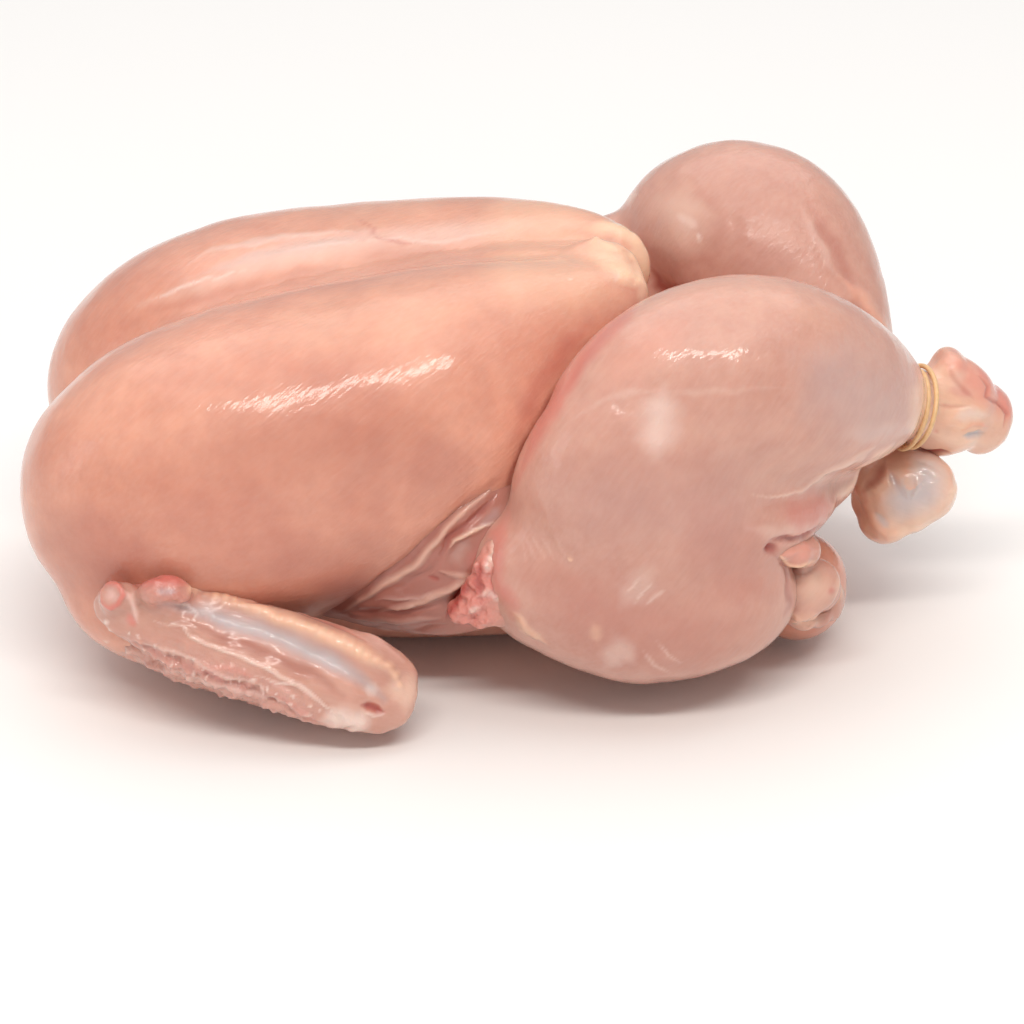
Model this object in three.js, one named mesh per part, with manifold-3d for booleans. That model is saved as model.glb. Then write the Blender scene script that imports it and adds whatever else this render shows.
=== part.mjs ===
// A skinless whole chicken, lying on its back, and the rubber band that ties its crossed hocks.
// Millimetres, +Z up. +X runs from the neck to the hocks and -Y is the bird's right side.
// The origin is on the ground, midway along the bird to within 2 mm.
import * as THREE from 'three';
import { mergeVertices } from 'three/addons/utils/BufferGeometryUtils.js';
import Module from 'manifold-3d';

const wasm = await Module();
wasm.setup();

// ---- Driving dimensions ----

// Each muscle is an ellipsoid drawn out along a cubic spine. `across` and `deep` are its half sizes, one
// for the whole length or five at even stations. `blunt` rounds its ends (2 is an ellipse), `square`
// rounds its section in the same way, and `lean` rolls the section about the spine, in degrees.
const TORSO = {
  spine: [[-101.5, 0, 36], [-49, 0, 37.5], [24.5, 0, 37.5], [70.5, 0, 31]],
  across: [36, 47.5, 47.5, 41, 29.5],
  deep: [33, 38.5, 39.5, 35.5, 24.5],
  blunt: 2.6,
  around: 18,
  along: 12,
};
const NEAR_BREAST = {
  spine: [[-118, -33.5, 44.5], [-74, -30.5, 46], [-8, -29.5, 65.5], [30, -6.5, 90.5]],
  across: [33.5, 36, 35.5, 29.5, 17],
  deep: [37.5, 39.5, 36, 30.5, 18],
  blunt: 2.3,
  square: 2.3,
  around: 26,
  along: 22,
};
const FAR_BREAST = {
  ...NEAR_BREAST,
  spine: [[-117.5, 33.5, 43.5], [-74, 31, 46], [-8, 29.5, 64.5], [31, 8, 91]],
  across: [33.5, 36, 35.5, 29.5, 16.5],
  deep: [34.5, 37.5, 34.5, 28, 21.5],
};
const KEEL = {
  spine: [[-97, 0, 65.5], [-57.5, 0, 80.5], [-16.5, 0, 89.5], [30.5, 0, 91.5]],
  across: 5.5,
  deep: 6.5,
  blunt: 3,
  around: 8,
  along: 14,
};
const SHOULDER = {
  spine: [[-105, -33, 33], [-93, -40, 28], [-78, -44, 24], [-49, -46, 21.5]],
  across: 19.5,
  deep: 20,
  blunt: 2.3,
  around: 14,
  along: 8,
};
const NECK = {
  spine: [[-82, 0, 37.5], [-94.5, 0, 37.5], [-102.5, 0, 37], [-113, 0, 35.5]],
  across: 10,
  deep: 10,
  blunt: 5,
  around: 10,
  along: 6,
};
const FLANK = {
  spine: [[-62.5, -39.5, 28], [-33, -47.5, 33], [-8, -47.5, 39.5], [13, -41, 49]],
  across: [8, 10, 11.5, 11.5, 10],
  deep: [13, 16.5, 21.5, 23, 16.5],
  around: 12,
  along: 10,
};
const THIGH = {
  spine: [[-10.5, -49, 37], [10.5, -56, 37.5], [48, -52.5, 28.5], [63.5, -42, 23.5]],
  across: [19.5, 21.5, 22, 21.5, 18],
  deep: [24, 22.5, 24.5, 22, 20.5],
  blunt: 2.1,
  around: 18,
  along: 16,
};
const KNEE = {
  spine: [[-1, -50, 50], [16.5, -55, 54], [41, -52.5, 54], [70.5, -39.5, 49]],
  across: [15, 21.5, 23, 19.5, 11.5],
  deep: [26, 35.5, 38.5, 31, 16.5],
  around: 20,
  along: 14,
};
const FAR_KNEE = {
  ...KNEE,
  spine: [[-3.5, 50, 42.5], [16.5, 55, 42.5], [41, 52.5, 44.5], [70.5, 39.5, 44.5]],
};
const CALF = {
  spine: [[8, -49, 47.5], [33, -56, 52.5], [57, -50, 49], [75.5, -33, 46]],
  across: [16.5, 18, 18, 15, 9.5],
  deep: [18, 19.5, 18, 13, 7.5],
  around: 12,
  along: 8,
};
const NEAR_DRUMSTICK = {
  spine: [[7, -49, 72], [36, -49, 86.5], [74.5, -36, 77], [99, -10, 56]],
  across: [21.5, 24, 24, 22, 16.5],
  deep: [20.5, 25.5, 25.5, 23, 15.5],
  blunt: 1.8,
  around: 20,
  along: 18,
};
const FAR_DRUMSTICK = {
  spine: [[30.5, 52.5, 65], [54.5, 52.5, 92], [71, 37.5, 78], [91, -1.5, 39.5]],
  across: [21.5, 24.5, 24.5, 21.5, 15],
  deep: [22, 24, 27, 21.5, 14],
  blunt: 2.2,
  around: 18,
  along: 18,
};
const NEAR_SHANK = {
  spine: [[77, -24.5, 65.5], [88.5, -16.5, 61.5], [101.5, -8, 57.5], [115, -5.5, 55]],
  across: 9,
  deep: 9,
  blunt: 3,
  around: 12,
  along: 6,
};
const FAR_SHANK = {
  spine: [[87, 18, 56], [91, 8, 49], [93.5, -3.5, 42.5], [96, -13, 36]],
  across: 8,
  deep: 8,
  blunt: 3,
  around: 10,
  along: 8,
};
const NEAR_HOCK = {
  spine: [[97, -10.5, 57.5], [104, -8, 57], [109.5, -6.5, 56], [114, -5, 53.5]],
  across: [7.5, 9, 10, 10, 8.5],
  deep: [8, 12.5, 13, 11, 9],
  blunt: 3,
  around: 14,
  along: 10,
};
const FAR_HOCK = {
  spine: [[92.5, -1.5, 43.5], [93.5, -10, 38.5], [94.5, -15, 34.5], [93.5, -21, 30]],
  across: [8, 10.5, 12, 11, 7],
  deep: [8, 10.5, 12.5, 11, 7],
  blunt: 2.8,
  square: 2.4,
  around: 14,
  along: 10,
};
const RUMP = {
  spine: [[33, 0, 21.5], [46, 0, 21.5], [58, 0, 19.5], [71, 0, 17]],
  across: [33, 36, 37.5, 36, 29.5],
  deep: [21.5, 21.5, 21.5, 19.5, 16.5],
  blunt: 2.8,
  around: 16,
  along: 10,
};
const FOREARM = {
  spine: [[-24, -69.5, 11.5], [-47.5, -72, 19.5], [-74, -67, 28], [-99, -59, 33]],
  across: [5.5, 6.5, 6.5, 6.5, 5.5],
  deep: [14, 12.5, 11.5, 10, 7.5],
  lean: 30,
  blunt: 2.8,
  around: 10,
  along: 16,
};
const UPPER_ARM = {
  spine: [[-27, -68, 8.5], [-47.5, -63, 12.5], [-72, -57, 18], [-97, -46, 22]],
  across: [7, 8, 9, 10.5, 12],
  deep: [7, 8, 9, 10.5, 12],
  blunt: 2.6,
  around: 10,
  along: 10,
};

// Round lumps, each an ellipsoid with three half sizes. The knuckles are the bone ends of the two hocks.
// Both sides have the paired lumps: two bone ends of the cut wing, and a lobe of the rump and one of fat
// behind the thigh.
const HOCK_KNUCKLES = [
  { at: [104.5, -8, 65.5], half: [5, 7.5, 6.5] },
  { at: [113.5, -5.5, 52], half: [7.5, 8, 9] },
  { at: [101, -16, 38], half: [6.5, 7.5, 8] },
  { at: [90, -16, 30.5], half: [6.5, 7, 6.5] },
];
const PAIRED_LUMPS = [
  { at: [-92.5, -64, 36], half: [5, 4, 4] },
  { at: [-82, -66.5, 38.5], half: [6.5, 4, 4] },
  { at: [68.5, -24, 16], half: [12.5, 13, 14] },
  { at: [71.5, -36, 22], half: [6.5, 6.5, 6.5] },
];

// The band is wound twice round the near shank: its two strands lie `apart` along the shank in front,
// and one lies over the other behind.
const BAND = {
  centre: [95.5, -15, 59.5],
  normal: [0.93, 0.15, -0.33],
  half: [11.5, 9.5],
  apart: 2,
  over: 0.8,
  thickness: 1.3,
  clearance: 0.4,
  steps: 64,
  sides: 6,
};

// ---- Shapes ----

const AXIS_Y = new THREE.Vector3(0, 1, 0);
const UP = new THREE.Vector3(0, 0, 1);

// A half size at t, smooth through its five even stations.
function sizeAt(size, t) {
  if (typeof size === 'number') return size;
  const curve = new THREE.CatmullRomCurve3(size.map((value, i) => new THREE.Vector3(i, value, 0)));
  return curve.getPoint(t).y;
}

// The far side's copy of a muscle.
function mirrored(muscle) {
  return { ...muscle, spine: muscle.spine.map(([x, y, z]) => [x, -y, z]), lean: -(muscle.lean ?? 0) };
}

// A sphere whose poles lie on the ends of the spine, with its rings fitted to the half sizes.
function muscleGeometry({ spine, across, deep, blunt = 2, square = 2, lean = 0, around, along }) {
  const geometry = new THREE.SphereGeometry(1, around, along);
  const curve = new THREE.CubicBezierCurve3(...spine.map((p) => new THREE.Vector3(...p)));
  const position = geometry.getAttribute('position');
  const unit = new THREE.Vector3();
  for (let i = 0; i < position.count; i++) {
    unit.fromBufferAttribute(position, i);
    const ring = Math.hypot(unit.x, unit.z);
    const s = Math.sign(unit.y) * Math.abs(unit.y) ** (2 / blunt);
    const t = THREE.MathUtils.clamp((1 + s) / 2, 0, 1);
    const swell = ring ** (2 / blunt);
    const cos = ring > 0 ? unit.x / ring : 0;
    const sin = ring > 0 ? unit.z / ring : 0;
    const tangent = curve.getTangent(t);
    const side = AXIS_Y.clone().projectOnPlane(tangent).normalize().negate();
    const top = new THREE.Vector3().crossVectors(side, tangent);
    side.applyAxisAngle(tangent, THREE.MathUtils.degToRad(lean));
    top.applyAxisAngle(tangent, THREE.MathUtils.degToRad(lean));
    const p = curve.getPoint(t);
    p.addScaledVector(side, swell * sizeAt(across, t) * Math.sign(cos) * Math.abs(cos) ** (2 / square));
    p.addScaledVector(top, swell * sizeAt(deep, t) * Math.sign(sin) * Math.abs(sin) ** (2 / square));
    position.setXYZ(i, p.x, p.y, p.z);
  }
  return geometry;
}

// The closed path of the band, twice round an ellipse square to the shank.
class BandPath extends THREE.Curve {
  getPoint(t, target = new THREE.Vector3()) {
    const turn = 2 * Math.PI * t;
    const normal = new THREE.Vector3(...BAND.normal).normalize();
    const up = UP.clone().projectOnPlane(normal).normalize();
    const front = new THREE.Vector3().crossVectors(normal, up);
    const out = BAND.over * Math.sin(turn);
    return target.set(...BAND.centre)
      .addScaledVector(front, (BAND.half[0] + out) * Math.cos(2 * turn))
      .addScaledVector(up, (BAND.half[1] + out) * Math.sin(2 * turn))
      .addScaledVector(normal, 0.5 * BAND.apart * Math.cos(turn));
  }
}

function bandGeometry(radius) {
  return new THREE.TubeGeometry(new BandPath(), BAND.steps, radius, BAND.sides, true);
}

// ---- Solids ----

function solidOf(geometry) {
  const bare = geometry.clone();
  bare.deleteAttribute('normal');
  bare.deleteAttribute('uv');
  const merged = mergeVertices(bare, 1e-3);
  return new wasm.Manifold(new wasm.Mesh({
    numProp: 3,
    vertProperties: merged.getAttribute('position').array,
    triVerts: new Uint32Array(merged.index.array),
  }));
}

function geometryOf(solid) {
  const mesh = solid.getMesh();
  const geometry = new THREE.BufferGeometry();
  geometry.setAttribute('position', new THREE.BufferAttribute(mesh.vertProperties, 3));
  geometry.setIndex(new THREE.BufferAttribute(mesh.triVerts, 1));
  geometry.computeVertexNormals();
  return geometry;
}

// The outer shell alone, so that a hollow that fusing seals is filled.
function filled(solid) {
  return solid.decompose().reduce((most, shell) => (shell.volume() > most.volume() ? shell : most));
}

function ellipsoidGeometry({ at, half }) {
  return new THREE.SphereGeometry(1, 10, 7).scale(...half).translate(...at);
}

function chickenSolid() {
  const pairs = [SHOULDER, FLANK, THIGH, CALF, FOREARM, UPPER_ARM];
  const single = [TORSO, NECK, NEAR_BREAST, FAR_BREAST, KEEL, RUMP];
  const legs = [KNEE, FAR_KNEE, NEAR_DRUMSTICK, FAR_DRUMSTICK, NEAR_SHANK, FAR_SHANK, NEAR_HOCK, FAR_HOCK];
  const muscles = [...single, ...pairs, ...pairs.map(mirrored), ...legs];
  const farLumps = PAIRED_LUMPS.map(({ at: [x, y, z], half }) => ({ at: [x, -y, z], half }));
  const lumps = [...HOCK_KNUCKLES, ...PAIRED_LUMPS, ...farLumps];
  const masses = [...muscles.map(muscleGeometry), ...lumps.map(ellipsoidGeometry)].map(solidOf);
  const ground = new THREE.BoxGeometry(400, 300, 60).translate(0, 0, -30);
  const groove = bandGeometry(BAND.thickness / 2 + BAND.clearance);
  return filled(masses.reduce((sum, next) => sum.add(next))
    .subtract(solidOf(ground))
    .subtract(solidOf(groove)));
}

const chicken = new THREE.Mesh(
  geometryOf(chickenSolid()),
  new THREE.MeshStandardMaterial({ color: '#e3ab92', roughness: 0.35, metalness: 0 }),
);
chicken.name = 'chicken';

const band = new THREE.Mesh(
  geometryOf(solidOf(bandGeometry(BAND.thickness / 2))),
  new THREE.MeshStandardMaterial({ color: '#d9b36c', roughness: 0.5, metalness: 0 }),
);
band.name = 'rubber_band';

const part = new THREE.Group();
part.add(chicken, band);
export default part;
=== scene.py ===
"""A skinless whole chicken, raw and wet, with a rubber band round its crossed hocks.

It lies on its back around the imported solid. Every size is in millimetres in the part's own frame until
a mesh is made: +X runs from the neck to the hocks, +Z is up and -Y is the bird's right side.
"""

from itertools import product
from math import cos, pi, radians, sin

import bpy
import numpy as np
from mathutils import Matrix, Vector


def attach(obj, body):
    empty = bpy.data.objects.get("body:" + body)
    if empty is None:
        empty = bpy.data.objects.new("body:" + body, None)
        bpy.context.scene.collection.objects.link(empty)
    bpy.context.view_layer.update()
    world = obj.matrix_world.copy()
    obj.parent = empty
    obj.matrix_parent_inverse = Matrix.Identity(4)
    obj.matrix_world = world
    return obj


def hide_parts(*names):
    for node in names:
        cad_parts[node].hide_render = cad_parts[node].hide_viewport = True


bl_info = {
    "name": "Skinless Chicken",
    "version": (1, 0, 0),
    "blender": (4, 5, 0),
    "location": "3D View > Sidebar > Chicken",
    "description": "Builds a raw skinless chicken, piece by piece, around its packed solid",
    "category": "Add Mesh",
}

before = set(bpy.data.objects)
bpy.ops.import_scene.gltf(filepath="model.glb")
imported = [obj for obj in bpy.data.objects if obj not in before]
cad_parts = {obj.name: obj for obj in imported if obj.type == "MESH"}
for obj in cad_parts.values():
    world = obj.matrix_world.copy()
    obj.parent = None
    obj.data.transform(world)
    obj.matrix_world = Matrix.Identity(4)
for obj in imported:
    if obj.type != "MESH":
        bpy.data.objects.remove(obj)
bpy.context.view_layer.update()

MM = 0.001
SENSOR = 36.0

# The camera looks at the bird from its right side, from a little above.
TARGET = np.array([-0.8, 0.0, 24.6])
DISTANCE = 902.0
AZIMUTH = -1.0
ELEVATION = 27.0
LENS = 127.6


def view_axes(azimuth, elevation):
    """Right, up and backward directions of a camera turned by azimuth from +Y and raised by elevation."""
    a, e = radians(azimuth), radians(elevation)
    back = np.array([sin(a) * cos(e), -cos(a) * cos(e), sin(e)])
    right = np.array([cos(a), sin(a), 0.0])
    return right, np.cross(back, right), back


RIGHT, UP, BACK = view_axes(AZIMUTH, ELEVATION)


# ---- Muscles: each is an ellipsoid drawn out along a cubic spine, as in the solid ----

def muscle(spine, across, deep=None, blunt=2.0, square=2.0, lean=0.0):
    """Its half sizes are across the spine and deep, the same where deep is left out, at even steps."""
    return dict(spine=spine, across=across, deep=deep or across, blunt=blunt, square=square, lean=lean)


TORSO = muscle(
    [(-101.5, 0, 36), (-49, 0, 37.5), (24.5, 0, 37.5), (70.5, 0, 31)],
    (36, 47.5, 47.5, 41, 29.5), (33, 38.5, 39.5, 35.5, 24.5), blunt=2.6)
NEAR_BREAST = muscle(
    [(-118, -33.5, 44.5), (-74, -30.5, 46), (-8, -29.5, 65.5), (30, -6.5, 90.5)],
    (33.5, 36, 35.5, 29.5, 17), (37.5, 39.5, 36, 30.5, 18), blunt=2.3, square=2.3)
FAR_BREAST = muscle(
    [(-117.5, 33.5, 43.5), (-74, 31, 46), (-8, 29.5, 64.5), (31, 8, 91)],
    (33.5, 36, 35.5, 29.5, 16.5), (34.5, 37.5, 34.5, 28, 21.5), blunt=2.3, square=2.3)
KEEL = muscle(
    [(-97, 0, 65.5), (-57.5, 0, 80.5), (-16.5, 0, 89.5), (30.5, 0, 91.5)],
    (5.5,) * 5, (6.5,) * 5, blunt=3)
KEEL_TIP = muscle(
    [(12, -2, 94.5), (21, -3, 95), (26.5, -4, 91.5), (29, -5, 84)],
    (4, 4.5, 4.5, 4, 3.5), (5, 5.5, 5.5, 5, 4.5), blunt=2.4)
SHOULDER = muscle(
    [(-105, -33, 33), (-93, -40, 28), (-78, -44, 24), (-49, -46, 21.5)],
    (19.5,) * 5, (20,) * 5, blunt=2.3)
NECK = muscle(
    [(-82, 0, 37.5), (-94.5, 0, 37.5), (-102.5, 0, 37), (-113, 0, 35.5)],
    (10,) * 5, blunt=5)
FLANK = muscle(
    [(-62.5, -39.5, 28), (-33, -47.5, 33), (-8, -47.5, 39.5), (13, -41, 49)],
    (8, 10, 11.5, 11.5, 10), (13, 16.5, 21.5, 23, 16.5))
RUMP = muscle(
    [(33, 0, 21.5), (46, 0, 21.5), (58, 0, 19.5), (71, 0, 17)],
    (33, 36, 37.5, 36, 29.5), (21.5, 21.5, 21.5, 19.5, 16.5), blunt=2.8)
THIGH = muscle(
    [(-10.5, -49, 37), (10.5, -56, 37.5), (48, -52.5, 28.5), (63.5, -42, 23.5)],
    (19.5, 21.5, 22, 21.5, 18), (24, 22.5, 24.5, 22, 20.5), blunt=2.1)
NEAR_KNEE = muscle(
    [(-1, -50, 50), (16.5, -55, 54), (41, -52.5, 54), (70.5, -39.5, 49)],
    (15, 21.5, 23, 19.5, 11.5), (26, 35.5, 38.5, 31, 16.5))
FAR_KNEE = dict(
    NEAR_KNEE, spine=[(-3.5, 50, 42.5), (16.5, 55, 42.5), (41, 52.5, 44.5), (70.5, 39.5, 44.5)])
CALF = muscle(
    [(8, -49, 47.5), (33, -56, 52.5), (57, -50, 49), (75.5, -33, 46)],
    (16.5, 18, 18, 15, 9.5), (18, 19.5, 18, 13, 7.5))
NEAR_DRUMSTICK = muscle(
    [(7, -49, 72), (36, -49, 86.5), (74.5, -36, 77), (99, -10, 56)],
    (21.5, 24, 24, 22, 16.5), (20.5, 25.5, 25.5, 23, 15.5), blunt=1.8)
FAR_DRUMSTICK = muscle(
    [(30.5, 52.5, 65), (54.5, 52.5, 92), (71, 37.5, 78), (91, -1.5, 39.5)],
    (21.5, 24.5, 24.5, 21.5, 15), (22, 24, 27, 21.5, 14), blunt=2.2)
CALF_EDGE = muscle(
    [(78.5, -27, 52), (75.5, -30, 49.5), (72, -33, 46.5), (68, -37, 44)],
    (5, 6, 6, 6, 5), blunt=2.6)
NEAR_SHANK = muscle(
    [(77, -24.5, 65.5), (85, -19, 62.5), (93, -13.5, 60), (102, -8.5, 57.5)],
    (9,) * 5, blunt=3)
FAR_SHANK = muscle(
    [(87, 18, 56), (91, 8, 49), (93.5, -3.5, 42.5), (96, -13, 36)],
    (8,) * 5, blunt=3)
NEAR_HOCK = muscle(
    [(91, -12.5, 59.5), (101, -9, 57.5), (109.5, -6.5, 56), (114, -5, 53.5)],
    (8.5, 9, 10, 10, 8.5), (9, 12, 13, 11, 9), blunt=3)
FAR_HOCK = muscle(
    [(92.5, -1.5, 43.5), (93.5, -10, 38.5), (94.5, -15, 34.5), (93.5, -21, 30)],
    (8, 10, 11.5, 10.5, 7), (8, 10, 12, 10.5, 7), blunt=3.2, square=3.2)
FOREARM = muscle(
    [(-24, -69.5, 11.5), (-47.5, -72, 19.5), (-74, -67, 28), (-99, -59, 33)],
    (5.5, 6.5, 6.5, 6.5, 5.5), (14, 12.5, 11.5, 10, 7.5), blunt=2.8, lean=30)
UPPER_ARM = muscle(
    [(-27, -68, 8.5), (-47.5, -63, 12.5), (-72, -57, 18), (-97, -46, 22)],
    (7, 8, 9, 10.5, 12), blunt=2.6)

# Bone ends and lumps of fat: a middle and three half sizes.
NEAR_HOCK_LUMPS = [
    ((104.5, -8, 65.5), (5, 7.5, 6.5)),
    ((113.5, -5.5, 52), (7.5, 8, 9)),
]
FAR_HOCK_LUMPS = [
    ((101, -16, 38), (6.5, 7.5, 8)),
    ((90, -16, 30.5), (6.5, 7, 6.5)),
]
RUMP_LOBE = ((68.5, -24, 16), (12.5, 13, 14))
WING_LUMPS = [
    ((-92.5, -64, 36), (5, 4, 4)),
    ((-82, -66.5, 38.5), (6.5, 4, 4)),
]
RAW_MEAT = [
    ((-6, -58, 41.5), (3.4, 3.4, 6.0)),
    ((-7.5, -60, 39.5), (3.8, 3.6, 5.4)),
    ((-9, -59.5, 34), (5.0, 3.8, 5.4)),
    ((-5.5, -60.5, 33.5), (4.6, 3.8, 5.6)),
    ((-12.5, -58.5, 29), (4.6, 3.6, 3.6)),
    ((-8.5, -59.5, 28.5), (5.2, 3.8, 3.6)),
    ((-4, -60.5, 29.5), (4.4, 3.8, 3.6)),
]
FAT_LOBE = ((71.5, -36, 22), (6.5, 6.5, 6.5))
REAR_FAT = [
    ((61, -55, 42.5), (4.6, 3.5, 2.2)),
    ((64, -53, 40.5), (4.6, 3.5, 3.8)),
    ((67.5, -49, 39), (3.6, 4, 4.2)),
    ((66.5, -46.5, 28.5), (4.8, 4.5, 6)),
    ((70, -43.5, 26.5), (6.6, 5.5, 7)),
    ((67.5, -45, 23), (5, 5, 5)),
    ((75, -32, 17), (4.4, 5.5, 5)),
    ((65.5, -41, 17.5), (3.2, 3.4, 2.6)),
    ((68.5, -40, 15.5), (3.6, 3.4, 2.8)),
    ((72, -37.5, 15), (3.6, 3.6, 2.8)),
    ((75, -33.5, 14.5), (3.6, 4, 3)),
]


# ---- Marks: lines and patches of the surface, as they lie in the picture plane through the target ----

def mark(line, half, lift=0.0, **paint):
    """A line through points, each right then up in mm; its half width, the height it adds, and its paint."""
    return dict(line=np.reshape(line, (-1, 2)).astype(float), half=half, lift=lift, paint=paint)


# The membrane along the keel with its whitish edges, and two thin veins.
KEEL_MARKS = [
    mark([-92.5, 51, -77.5, 56, -65, 61, -52.5, 64.5, -35.5, 67, -23, 68.5, -3, 70.5, 15.5, 71], 5,
         film=0.4, fat=0.1),
    mark([-82.5, 57, -65, 64, -52.5, 68, -35.5, 68.5, -23, 71], 1.6, -0.12, film=0.2),
    # Painted shade in the shallow groove beside the keel.
    mark([-96, 45, -90, 49.5, -77.5, 53, -65, 55.5, -52.5, 59, -28, 64, -3, 66], 2.6, -0.2, shade=0.22),
    mark([-91.5, 51.5, -83, 55, -75, 58, -67, 60, -60.5, 61], 0.9, 0.15, film=0.75),
    mark([-80, 62, -74.5, 65, -60, 68, -44, 70, -36, 69], 1.1, 0.12, film=0.5),
    mark([-65, 63, -50, 66, -38, 67.5, -28, 67.5, -18, 67, -8, 69, 4.5, 71.5], 1.3, 0.12, film=0.6),
    mark([-77.5, 59.5, -62.5, 64, -47.5, 67, -33, 69.5], 2.4, bone=0.25),
    mark([-40, 73, -37, 72, -34.5, 70, -32, 67.5, -28, 66, -23, 67], 0.8, blood=0.3),
    mark([-35, 70, -36.5, 68, -40, 67], 0.6, blood=0.2),
]
# On both sides: the gristle at the keel tip, blood under the meat, painted shade over the middle and lower
# breast and its underside, and the creases to leg and flank, darkened with painted shade.
BREAST_MARKS = [
    mark([17, 70, 24.5, 70.5, 29.5, 70, 32, 67, 33, 62, 33, 55.5, 32, 52.5], 4.4, 0.2, fat=1),
    # Painted shade in a crease under the gristle.
    mark([18, 68.5, 25, 67.5, 29, 64, 30.5, 60, 30, 55], 0.9, -0.3, shade=0.2),
    mark([22, 72, 12, 73.5, -3, 74.5], 2.5, fat=0.4),
    # A groove over the gristle, with painted shade.
    mark([23, 72, 27.5, 72.5, 31, 73], 1, -0.3, shade=0.3, bone=0.3),
    mark([-28, 13, -18, 10.5, -10.5, 15.5], 17, shade=0.4, blood=0.05),
    # Painted shade on the underside by the wing, which is dry as well.
    mark([-52.5, -17, -30.5, -23.5, -3, -26.5], 12, shade=0.9, dry=1),
    mark([-90, 10.5, -72.5, -2, -47.5, -12], 24, blood=0.13, shade=0.12),
    # Painted shade low on the breast, from here to the mark after next.
    mark([-115, 3, -107.5, -14.5, -92.5, -22], 15, shade=0.45),
    mark([-108.5, 3, -100, -10.5, -86, -12.5], 10, blood=0.16, shade=0.2),
    mark([-70, -7, -45, -15.5, -23, -7], 16, shade=0.36),
    mark([-65, 42.5, -40.5, 47.5, -8, 55, 17, 57.5], 14, fat=0.16),
    mark([-10.5, 59, 12, 60, 28, 52.5], 17, fat=0.42),
    # Painted shade across the middle of the breast, below its highlight.
    mark([-85, 8, -52.5, 14, -15.5, 18], 28, shade=0.3),
    # The crease to the leg: painted shade, and the red of blood.
    mark([32, 52.5, 22, 42.5, 12, 29, 3, 15.5, -1.5, 5.5], 2.4, -0.4, blood=0.75, shade=0.6),
    mark([19.5, 47.5, 8, 33, 0.5, 18], 4.5, blood=0.25, raw=0.12),
    # Painted shade in the groove along the breast's lower edge, and beside it.
    mark([-3, 8.5, -10.5, 3, -18, -4.5, -26.5, -12.5, -38, -21.5, -42.5, -23.5], 2.2, -0.7, shade=0.7),
    mark([-14, -0.5, -24, -12, -38, -23], 7, shade=0.4),
    # Two tiny painted highlights.
    mark([-101, -32], 0.6, 0.3, film=1),
    mark([14, 58.5, 15.5, 56.5], 0.5, 0.2, film=0.7),
]
# Folded membranes from the breast to the thigh: painted shade over the whole flank, which lies low between
# them, and in the folds and the dark gap behind them.
FLANK_MARKS = [
    # Painted shade over the whole flank.
    mark([-10.5, 38, -42.5, -61.5], 60, shade=0.9),
    mark([-4, 7.5, -14, -1.5, -19.5, -8, -25, -13.5, -36, -21, -41.5, -24], 1.6, 1, fat=0.25, film=0.3),
    # Folds between the membranes, darkened with painted shade and blood red.
    mark([-4, 5, -7.5, 0.5, -11.5, -3.5, -16, -7, -18, -11.5], 1.3, -1.1, blood=0.4, shade=0.7),
    mark([-18, -11.5, -21.5, -15, -28.5, -19], 1, -0.5, shade=0.5),
    mark([-4, -2.5, -10.5, -5.5, -14.5, -7.5, -16, -9.5], 0.9, 0.7, fat=0.5, film=0.5, ragged=0.4),
    mark([-11, -7, -14, -10.5, -12.5, -13.5], 3, -0.5, shade=0.5, film=0.2),
    mark([-18, -14.5, -11, -16.5, -16, -19.5, -25, -23, -33, -25], 1.6, 0.9, fat=0.2, film=0.3,
         ragged=0.5),
    mark([-21, -16, -18, -17], 0.9, -0.3, blood=0.6),
    mark([-34, -22, -23, -21, -16, -19], 0.7, 0.4, film=0.3),
    mark([-40.5, -24.5, -28, -25, -18, -23], 1.2, -0.6, shade=0.6, blood=0.15),
    mark([-40.5, -26, -28, -27.5, -18, -26], 1.1, 0.5, film=0.3),
    mark([-35.5, -28.5, -25.5, -29.5, -16, -28], 1.2, -0.5, shade=0.5),
    mark([-3, 1.5, -8, -4.5], 2, bone=0.25),
    mark([-10.5, -16.5, -12.5, -19.5, -15, -23, -16.5, -26.5], 1.3, -1.2, blood=0.95, shade=0.5),
    mark([-5, -5, -7, -12, -6.5, -19.5, -10.5, -25, -3, -25], 5.2, 0.6, raw=0.85, blood=0.2),
]
# Torn meat in front of the thigh, with painted glints on small raised wet strands, and painted shade in its
# creases.
RAW_MEAT_MARKS = [
    mark([-6, -7, -7, -19.5, -10.5, -25.5, -1.5, -25], 14, raw=0.75, ragged=1),
    # Painted glints along raised strands, here and in the next two marks.
    mark([-5, -10, -6.5, -15], 1.6, 0.3, film=0.7),
    mark([-9, -21, -6, -20, -3, -22], 1.6, 0.3, film=0.6),
    mark([-10.5, -25, -7.5, -23.5], 1.4, 0.2, film=0.6),
    mark([-10.5, -16.5, -12.5, -19.5, -15, -23.5, -16.5, -27], 2.2, blood=0.8),
    mark([-4.5, -5, -4.5, -11.5, -1, -18, 1, -22, 0, -26.5], 2.2, fat=0.3, film=0.3),
    # Painted shade with blood red in a crease.
    mark([-8, -12, -9, -17, -7.5, -22], 2, -0.6, blood=0.6, shade=0.3),
    mark([-5, -15.5, -4, -21.5], 1, -0.5, blood=0.5),
]
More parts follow.
